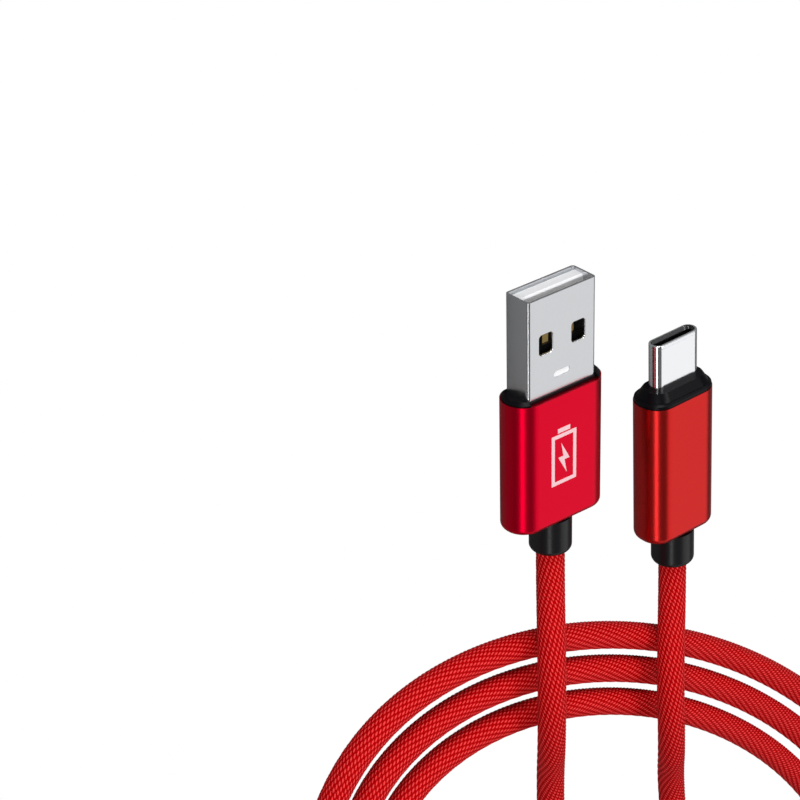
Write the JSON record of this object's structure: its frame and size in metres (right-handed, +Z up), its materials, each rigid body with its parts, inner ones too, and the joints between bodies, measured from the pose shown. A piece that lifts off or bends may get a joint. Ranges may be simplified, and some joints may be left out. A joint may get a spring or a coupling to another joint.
{
  "type": "charging cable",
  "caption": "Braided charging cable with a USB-A plug and a USB-C plug, lying in a flat oval coil with both cords over its near side.",
  "frame": {"origin": "middle of the USB-A housing's underside, on the surface the cable lies on", "axes": "+Z up from that surface, -Y out of the USB-A plug's mouth, +Y along the cord towards the coil, +X to the right of the USB-A plug seen from above with its mouth towards the viewer"},
  "size_m": [0.1298, 0.1726, 0.012],
  "materials": {
    "plated_steel": "satin nickel plating",
    "polished_steel": "polished plating",
    "light_plastic": "moulded, satin",
    "black_plastic": "moulded, satin",
    "collar_plastic": "moulded, satin",
    "red_aluminium": "anodised metallic red",
    "clear_plastic": "low-pressure moulding",
    "jacket_plastic": "smooth extrusion",
    "relief_rubber": "matt",
    "gold_contacts": "gold plated",
    "wire_red": "insulation",
    "wire_white": "insulation",
    "wire_green": "insulation",
    "wire_black": "insulation",
    "spring_steel": "bare sheet",
    "circuit_board": "solder mask",
    "resistor": "ceramic chip",
    "cord_braid": "woven nylon braid"
  },
  "bodies": {
    "root": {"cord_coil": "cord_braid", "cord_tail_a": "cord_braid", "cord_tail_c": "cord_braid", "usb_a_cable_clamp": "spring_steel", "usb_a_contact_carrier": "black_plastic", "usb_a_contact_d_minus": "gold_contacts", "usb_a_contact_d_plus": "gold_contacts", "usb_a_contact_gnd": "gold_contacts", "usb_a_contact_vbus": "gold_contacts", "usb_a_front_collar": "collar_plastic", "usb_a_housing": "red_aluminium", "usb_a_inner_mould": "clear_plastic", "usb_a_jacket_end": "jacket_plastic", "usb_a_shell": "plated_steel", "usb_a_strain_relief": "relief_rubber", "usb_a_tongue_nose": "light_plastic", "usb_a_wire_d_minus": "wire_white", "usb_a_wire_d_plus": "wire_green", "usb_a_wire_gnd": "wire_black", "usb_a_wire_vbus": "wire_red", "usb_c_circuit_board": "circuit_board", "usb_c_front_collar": "collar_plastic", "usb_c_ground_spring_lower": "spring_steel", "usb_c_ground_spring_upper": "spring_steel", "usb_c_housing": "red_aluminium", "usb_c_inner_mould": "clear_plastic", "usb_c_insulator": "black_plastic", "usb_c_jacket_end": "jacket_plastic", "usb_c_latch_plate": "spring_steel", "usb_c_lower_contacts": "gold_contacts", "usb_c_pull_up_resistor": "resistor", "usb_c_rear_shield": "spring_steel", "usb_c_shell": "polished_steel", "usb_c_strain_relief": "relief_rubber", "usb_c_upper_contacts": "gold_contacts", "usb_c_wire_d_minus": "wire_white", "usb_c_wire_d_plus": "wire_green", "usb_c_wire_gnd": "wire_black", "usb_c_wire_vbus": "wire_red"}
  },
  "joints": []
}
